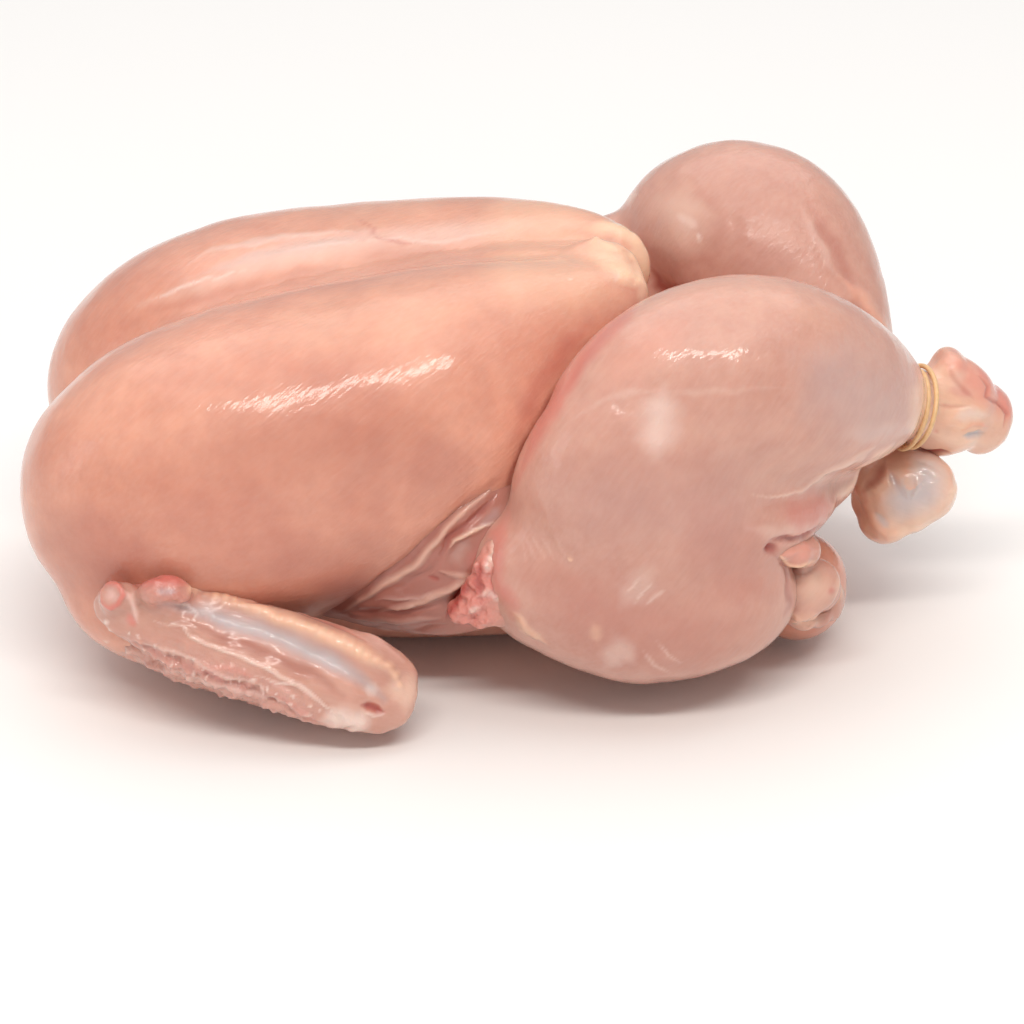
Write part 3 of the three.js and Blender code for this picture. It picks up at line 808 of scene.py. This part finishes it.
def raw_meat(name, meat, pale, full, roughness, fibre_way):
    """Raw poultry meat under a film of moisture: soft light comes back out of it, its red muscle shows
    through unevenly, its fibres streak the gloss, and its fat, membranes and bone are painted layers.
    Blotches are 28 mm wide, mottling 5 mm and torn fibres 1.8 mm, and whole fibres are 5 mm long and
    1 mm thick, which is as coarse as they have to be to show."""
    material, tree, output = bare_material(name)
    place = add(tree, "ShaderNodeTexCoord").outputs["Object"]
    turned = add(tree, "ShaderNodeMapping", {
        "Vector": place, "Rotation": fibre_way, "Scale": (0.005, 0.001, 0.001)}, vector_type="TEXTURE")
    noises = ((place, 0.028, 2.0), (place, 0.005, 3.0), (place, 0.0018, 2.0), (turned.outputs[0], 1.0, 2.0))
    blotch, mottle, torn, fibre = [
        add(tree, "ShaderNodeTexNoise", {"Vector": at, "Scale": 1 / size, "Detail": detail}).outputs[0]
        for at, size, detail in noises]
    painted = {}
    for layer in (*LAYERS, *FINISHES):
        painted[layer] = add(tree, "ShaderNodeAttribute", attribute_name=layer).outputs["Fac"]
    patch = add(tree, "ShaderNodeMapRange", {"Value": blotch, "From Min": 0.25, "From Max": 0.75})
    speck = add(tree, "ShaderNodeMapRange", {
        "Value": mottle, "From Min": 0.35, "From Max": 0.65, "To Max": 0.17})
    streak = add(tree, "ShaderNodeMapRange", {
        "Value": fibre, "From Min": 0.35, "From Max": 0.65, "To Max": 0.06})
    colour = (*pale, 1)
    covers = [(patch.outputs[0], full), (speck.outputs[0], meat.shade), (streak.outputs[0], meat.film)]
    # Among the painted layers, shade carries painted shade, and film carries painted highlights as well as
    # membrane.
    for share, tint in covers + [(painted[layer], getattr(meat, layer)) for layer in LAYERS]:
        colour = add(tree, "ShaderNodeMix", {
            MIX_SHARE: share, MIX_A: colour, MIX_B: (*tint, 1)}, data_type="RGBA").outputs[MIX_COLOUR]
    relief = add(tree, "ShaderNodeMath", {0: torn, 1: painted["ragged"]}, operation="MULTIPLY").outputs[0]
    relief = add(tree, "ShaderNodeMath", {0: relief, 1: 3.0}, operation="MULTIPLY").outputs[0]
    for height, share in ((fibre, 0.34), (mottle, 0.42)):
        relief = add(tree, "ShaderNodeMath", {
            0: height, 1: share, 2: relief}, operation="MULTIPLY_ADD").outputs[0]
    bump = add(tree, "ShaderNodeBump", {
        "Height": relief, "Strength": 0.55, "Distance": 0.0006}).outputs[0]
    moist = add(tree, "ShaderNodeMath", {
        0: painted["dry"], 1: -meat.wetness, 2: meat.wetness}, operation="MULTIPLY_ADD").outputs[0]
    shader = add(tree, "ShaderNodeBsdfPrincipled", {
        "Base Color": colour, "Roughness": roughness, "IOR": 1.4, "Normal": bump,
        "Subsurface Weight": 0.35, "Subsurface Radius": (1.0, 0.42, 0.28), "Subsurface Scale": 0.003,
        "Coat Weight": moist, "Coat Roughness": 0.06, "Coat IOR": 1.34, "Coat Normal": bump,
    })
    tree.links.new(shader.outputs[0], output.inputs["Surface"])
    return material


def natural_rubber(colour):
    """A moulded natural-rubber band: tan, satin and slightly translucent, with a fine powdery grain."""
    material, tree, output = bare_material("natural_rubber")
    place = add(tree, "ShaderNodeTexCoord").outputs["Object"]
    grain = add(tree, "ShaderNodeTexNoise", {
        "Vector": place, "Scale": 1 / 0.0012, "Detail": 3.0}).outputs[0]
    tone = add(tree, "ShaderNodeMix", {
        MIX_SHARE: grain,
        MIX_A: (*(0.8 * c for c in colour), 1), MIX_B: (*(min(1.15 * c, 1) for c in colour), 1),
    }, data_type="RGBA").outputs[MIX_COLOUR]
    bump = add(tree, "ShaderNodeBump", {
        "Height": grain, "Strength": 0.3, "Distance": 0.0002}).outputs[0]
    shader = add(tree, "ShaderNodeBsdfPrincipled", {
        "Base Color": tone, "Roughness": 0.45, "IOR": 1.52, "Normal": bump,
        "Subsurface Weight": 0.2, "Subsurface Radius": (1.0, 0.6, 0.3), "Subsurface Scale": 0.0008,
    })
    tree.links.new(shader.outputs[0], output.inputs["Surface"])
    return material


def painted_board(colour):
    """A plain matt painted table, faintly uneven in tone so that it doesn't look blank."""
    material, tree, output = bare_material("matt_paint")
    place = add(tree, "ShaderNodeTexCoord").outputs["Object"]
    cloud = add(tree, "ShaderNodeTexNoise", {"Vector": place, "Scale": 4.0, "Detail": 2.0}).outputs[0]
    tone = add(tree, "ShaderNodeMix", {
        MIX_SHARE: cloud, MIX_A: (*(0.985 * c for c in colour), 1), MIX_B: (*colour, 1),
    }, data_type="RGBA").outputs[MIX_COLOUR]
    shader = add(tree, "ShaderNodeBsdfPrincipled", {"Base Color": tone, "Roughness": 0.6})
    tree.links.new(shader.outputs[0], output.inputs["Surface"])
    return material


# ---- What a user would change ----

def colour_property(name, description, code):
    return bpy.props.FloatVectorProperty(
        name=name, description=description, default=linear(code), size=3, min=0, max=1, subtype="COLOR")


def number_property(name, description, default, low=0, **settings):
    return bpy.props.FloatProperty(name=name, description=description, default=default, min=low, **settings)


def length_property(name, description, millimetres):
    return number_property(name, description, millimetres * MM, unit="LENGTH", precision=5)


class CHICKEN_PG_meat(bpy.types.PropertyGroup):
    """Colours and wetness of the bird."""
    breast_pale: colour_property("Pale breast", "Breast meat where it is palest", "#e8a88f")
    breast: colour_property("Breast", "Breast meat where it is fullest in colour", "#cf8871")
    leg_pale: colour_property("Pale leg", "Leg meat where it is palest", "#d9a694")
    leg: colour_property("Leg", "Leg meat where it is fullest in colour", "#c99484")
    wing: colour_property("Wing", "Lean meat of the wing", "#bf8b7b")
    # This colour also paints shade into creases, grooves, gaps and the lower sides of the bird.
    shade: colour_property("Dark meat", "Meat where blood has settled under it", "#a9675a")
    raw: colour_property("Raw", "Torn and freshly cut meat", "#dc857a")
    # The membrane colour also paints highlights and glints.
    film: colour_property("Membrane", "Whitish membrane over the meat", "#ebd0c5")
    fat: colour_property("Fat", "Fat and cartilage", "#f6cbab")
    bone: colour_property("Bone", "Bone and tendon under a thin film", "#c6bdbe")
    blood: colour_property("Blood", "Veins and clots", "#a8322a")
    wetness: number_property("Wetness", "Share of the moist film", 0.85, max=1, subtype="FACTOR")


class CHICKEN_PG_band(bpy.types.PropertyGroup):
    """Sizes and colour of the rubber band."""
    colour: colour_property("Rubber", "Colour of the band", "#e2ba8a")
    thickness: length_property("Thickness", "Diameter of one strand", 1.2)
    half_width: length_property("Half width", "Half of the loop's width", 11.5)
    half_height: length_property("Half height", "Half of the loop's height", 9.5)
    apart: length_property("Apart", "Space between the strands in front", 2.0)
    over: length_property("Over", "How far one strand lies over the other behind", 0.8)


class CHICKEN_PG_stage(bpy.types.PropertyGroup):
    """The floor, the lights and the camera."""
    floor: colour_property("Floor", "Colour of the floor", "#f7f5f3")
    distance: length_property("Camera distance", "From the camera to the middle of the bird", DISTANCE)
    lens: number_property("Lens", "Focal length in millimetres", LENS, low=1, unit="CAMERA")
    key: number_property("Key light", "Strength of the long narrow light in front", 10.5, unit="POWER")
    panel: number_property("Panel", "Strength of the soft panel overhead", 35.0, unit="POWER")
    fill: number_property("Side light", "Strength of the small light from the left", 0.9, unit="POWER")
    air: number_property("Surroundings", "Brightness of the pale room", 0.42)


# ---- Pieces ----

def both_sides(name, forms, waves, draws, cloth, **growth):
    """Builds a piece and its mirror image, with waves of height and draws, each of marks and a wander."""
    for side, far in (("near", False), ("far", True)):
        skin = grown([far_side(form) for form in forms] if far else forms, **growth).uneven(*waves)
        for marks, wander in draws:
            skin.draw(marks, far, wander)
        flesh_piece(side + "_" + name, skin.rested(), cloth)


def leg_meat(meat):
    return raw_meat("wet_leg_meat", meat, meat.leg_pale, meat.leg, roughness=0.42, fibre_way=(0, -0.9, 0.3))


class CHICKEN_OT_trunk(bpy.types.Operator):
    """Builds the breast with its keel, the back and the rump."""
    bl_idname = "chicken.trunk"
    bl_label = "Breast and Back"

    def execute(self, context):
        meat = context.scene.chicken_meat
        forms = [TORSO, NEAR_BREAST, FAR_BREAST, KEEL, KEEL_TIP, NECK, RUMP, SHOULDER,
                 far_side(SHOULDER), RUMP_LOBE, far_side(RUMP_LOBE)]
        skin = grown(forms, voxel=2.15, fills=11, relaxes=3).uneven((0.7, 34, 1), (0.25, 9, 2))
        skin.draw(KEEL_MARKS + BREAST_MARKS, wander=0.8).draw(BREAST_MARKS, far=True, wander=0.8)
        cloth = raw_meat("wet_breast_meat", meat, meat.breast_pale, meat.breast, roughness=0.4,
                         fibre_way=(0, -0.55, 0.5))
        flesh_piece("breast_and_back", skin.relax(1, 0.3).rested(), cloth)
        return {"FINISHED"}


class CHICKEN_OT_flanks(bpy.types.Operator):
    """Builds the folded belly muscles between the breast and each thigh."""
    bl_idname = "chicken.flanks"
    bl_label = "Flanks"

    def execute(self, context):
        cloth = leg_meat(context.scene.chicken_meat)
        both_sides("flank", [FLANK], [(0.5, 7, 3), (0.25, 3, 4)], [(FLANK_MARKS, WANDER)], cloth,
                   voxel=1.1, fills=0, relaxes=2)
        both_sides("torn_meat", RAW_MEAT, [(0.5, 4, 31)], [(RAW_MEAT_MARKS, WANDER)], cloth,
                   voxel=0.8, fills=20, relaxes=2)
        return {"FINISHED"}


class CHICKEN_OT_legs(bpy.types.Operator):
    """Builds the two legs, each a thigh and a drumstick down to its hock, with flesh webbed between."""
    bl_idname = "chicken.legs"
    bl_label = "Legs"

    def execute(self, context):
        cloth = leg_meat(context.scene.chicken_meat)
        forms = [THIGH, NEAR_KNEE, CALF, CALF_EDGE, NEAR_DRUMSTICK, NEAR_SHANK, FAT_LOBE]
        near = grown(forms, voxel=1.45, fills=20, relaxes=4, until=82)
        near = pinched(near, context.scene.chicken_band)
        near.uneven((0.5, 26, 5), (0.18, 7, 6), (0.1, 3.2, 40)).draw(NEAR_LEG_MARKS, wander=0.9)
        flesh_piece("near_leg", near.relax(1, 0.3).rested(), cloth)
        forms = [far_side(THIGH), FAR_KNEE, far_side(CALF), FAR_DRUMSTICK, FAR_SHANK, far_side(FAT_LOBE)]
        far = grown(forms, voxel=1.45, fills=20, relaxes=4, until=68)
        far.uneven((0.5, 26, 7), (0.18, 7, 8), (0.08, 3.2, 41)).draw(FAR_LEG_MARKS, wander=0.9)
        flesh_piece("far_leg", far.relax(1, 0.3).rested(), cloth)
        return {"FINISHED"}


class CHICKEN_OT_rear_fat(bpy.types.Operator):
    """Builds the lobes of fat behind each thigh."""
    bl_idname = "chicken.rear_fat"
    bl_label = "Rear Fat"

    def execute(self, context):
        cloth = leg_meat(context.scene.chicken_meat)
        both_sides("rear_fat", REAR_FAT, [(0.3, 4, 9)], [(REAR_FAT_MARKS, WANDER)], cloth,
                   voxel=0.8, fills=45, relaxes=3)
        return {"FINISHED"}


class CHICKEN_OT_wings(bpy.types.Operator):
    """Builds the folded wings, cut at the wrist, with their ridge of feather follicles."""
    bl_idname = "chicken.wings"
    bl_label = "Wings"

    def execute(self, context):
        meat = context.scene.chicken_meat
        cloth = raw_meat("wet_wing_meat", meat, meat.leg_pale, meat.wing, roughness=0.38,
                         fibre_way=(0, 0.3, 0))
        follicles = beads(FOLLICLE_LINE, 2.6, 1.9, 0.45, fat=0.6)
        # The glints are painted white spots on small raised bumps.
        glints = beads(UPPER_GLINTS, 3.4, 0.7, 0.3, film=1.0) + beads(LOWER_GLINTS, 4.3, 0.8, 0.3, film=0.9)
        both_sides("wing", [FOREARM, UPPER_ARM, *WING_LUMPS], [(0.4, 8, 13), (0.25, 3, 14)],
                   [(follicles, 0.8), (glints, 2.0), (WING_MARKS, WANDER)], cloth,
                   voxel=1.0, fills=10, relaxes=2)
        return {"FINISHED"}


class CHICKEN_OT_hocks(bpy.types.Operator):
    """Builds the two cut hock joints with their gristle."""
    bl_idname = "chicken.hocks"
    bl_label = "Hocks"

    def execute(self, context):
        meat = context.scene.chicken_meat
        cloth = raw_meat("wet_gristle", meat, meat.fat, meat.leg_pale, roughness=0.38,
                         fibre_way=(0, 0.3, 0))
        near = grown([NEAR_HOCK, *NEAR_HOCK_LUMPS], voxel=0.8, fills=40, relaxes=2)
        near = pinched(near, context.scene.chicken_band)
        near.uneven((0.6, 7, 15), (0.15, 2.6, 16)).draw(NEAR_HOCK_MARKS)
        flesh_piece("near_hock", near, cloth)
        far = grown([FAR_HOCK, *FAR_HOCK_LUMPS], voxel=0.8, fills=12, relaxes=2)
        far.uneven((0.6, 7, 17), (0.15, 2.6, 18)).draw(FAR_HOCK_MARKS)
        flesh_piece("far_hock", far, cloth)
        return {"FINISHED"}


class CHICKEN_OT_band(bpy.types.Operator):
    """Builds the rubber band, wound twice round the near shank."""
    bl_idname = "chicken.band"
    bl_label = "Rubber Band"

    def execute(self, context):
        band = context.scene.chicken_band
        steps, sides = 320, 16
        line = band_path(np.arange(steps) / steps, band_half(band), band.apart / MM, band.over / MM)
        way = unit(np.roll(line, -1, axis=0) - np.roll(line, 1, axis=0))
        out = unit(line - BAND_CENTRE)
        side = unit(np.cross(way, out))
        out = np.cross(side, way)
        turn = (np.arange(sides) * 2 * pi / sides)[None, :, None]
        ring = np.cos(turn) * out[:, None] + np.sin(turn) * side[:, None]
        points = line[:, None] + band.thickness / MM / 2 * ring
        at = np.arange(steps * sides).reshape(steps, sides)
        ahead, after = np.roll(at, -1, axis=0), np.roll(at, -1, axis=1)
        both = np.roll(ahead, -1, axis=1)
        quads = np.stack([at, ahead, both, after], -1).reshape(-1, 4)
        mesh_piece("rubber_band_loop", points.reshape(-1, 3), quads, natural_rubber(band.colour),
                   "rubber_band")
        return {"FINISHED"}


class CHICKEN_OT_stage(bpy.types.Operator):
    """Sets the floor, the lights and the camera."""
    bl_idname = "chicken.stage"
    bl_label = "Stage"

    def execute(self, context):
        scene, stage = context.scene, context.scene.chicken_stage
        edge = 6.0
        corners = [(-edge, -edge, 0), (edge, -edge, 0), (edge, edge, 0), (-edge, edge, 0)]
        board = bpy.data.meshes.new("floor")
        board.from_pydata(corners, [], [(0, 1, 2, 3)])
        board.materials.append(painted_board(stage.floor))
        floor = bpy.data.objects.new("floor", board)
        scene.collection.objects.link(floor)
        lamps = (("key", (0.03, -0.75, 1.15), (1.1, 0.14), stage.key, "#fffaf4"),
                 ("panel", (0, 0.6, 2.2), (3.2, 3.2), stage.panel, "#ffffff"),
                 ("side", (-1.2, -0.25, 0.35), (0.35, 0.5), stage.fill, "#f6f9ff"))
        for name, place, (width, height), watts, colour in lamps:
            light = bpy.data.lights.new(name, "AREA")
            light.shape, light.size, light.size_y = "RECTANGLE", width, height
            light.energy, light.color = watts, linear(colour)
            lamp = bpy.data.objects.new(name, light)
            lamp.location = place
            lamp.rotation_euler = (Vector(TARGET * MM) - lamp.location).to_track_quat("-Z", "Y").to_euler()
            scene.collection.objects.link(lamp)
        world = bpy.data.worlds.new("pale_room")
        world.use_nodes = True
        world.node_tree.nodes["Background"].inputs["Color"].default_value = (*linear("#ffffff"), 1)
        world.node_tree.nodes["Background"].inputs["Strength"].default_value = stage.air
        scene.world = world
        scene.view_settings.view_transform = "Standard"
        camera = bpy.data.objects.new("camera", bpy.data.cameras.new("camera"))
        camera.data.lens, camera.data.sensor_width = stage.lens, SENSOR
        camera.location = Vector(TARGET * MM) + Vector(BACK) * stage.distance
        camera.rotation_euler = (-Vector(BACK)).to_track_quat("-Z", "Y").to_euler()
        scene.collection.objects.link(camera)
        scene.camera = camera
        return {"FINISHED"}


class CHICKEN_PT_panel(bpy.types.Panel):
    """Lists the pieces and what can be changed."""
    bl_label = "Skinless Chicken"
    bl_space_type = "VIEW_3D"
    bl_region_type = "UI"
    bl_category = "Chicken"

    def draw(self, context):
        for operator in OPERATORS:
            self.layout.operator(operator.bl_idname)
        for owner in GROUPS:
            column = self.layout.column()
            for name in GROUPS[owner].__annotations__:
                column.prop(getattr(context.scene, owner), name)


GROUPS = {
    "chicken_meat": CHICKEN_PG_meat,
    "chicken_band": CHICKEN_PG_band,
    "chicken_stage": CHICKEN_PG_stage,
}
OPERATORS = (
    CHICKEN_OT_trunk,
    CHICKEN_OT_flanks,
    CHICKEN_OT_legs,
    CHICKEN_OT_rear_fat,
    CHICKEN_OT_wings,
    CHICKEN_OT_hocks,
    CHICKEN_OT_band,
    CHICKEN_OT_stage,
)


def register():
    for owner, group in GROUPS.items():
        bpy.utils.register_class(group)
        setattr(bpy.types.Scene, owner, bpy.props.PointerProperty(type=group))
    for item in (*OPERATORS, CHICKEN_PT_panel):
        bpy.utils.register_class(item)


def unregister():
    for item in reversed((*OPERATORS, CHICKEN_PT_panel)):
        bpy.utils.unregister_class(item)
    for owner, group in GROUPS.items():
        delattr(bpy.types.Scene, owner)
        bpy.utils.unregister_class(group)


def main():
    register()
    bpy.ops.chicken.trunk()
    bpy.ops.chicken.flanks()
    bpy.ops.chicken.legs()
    bpy.ops.chicken.rear_fat()
    bpy.ops.chicken.wings()
    bpy.ops.chicken.hocks()
    bpy.ops.chicken.band()
    bpy.ops.chicken.stage()


if __name__ == "__main__":
    main()
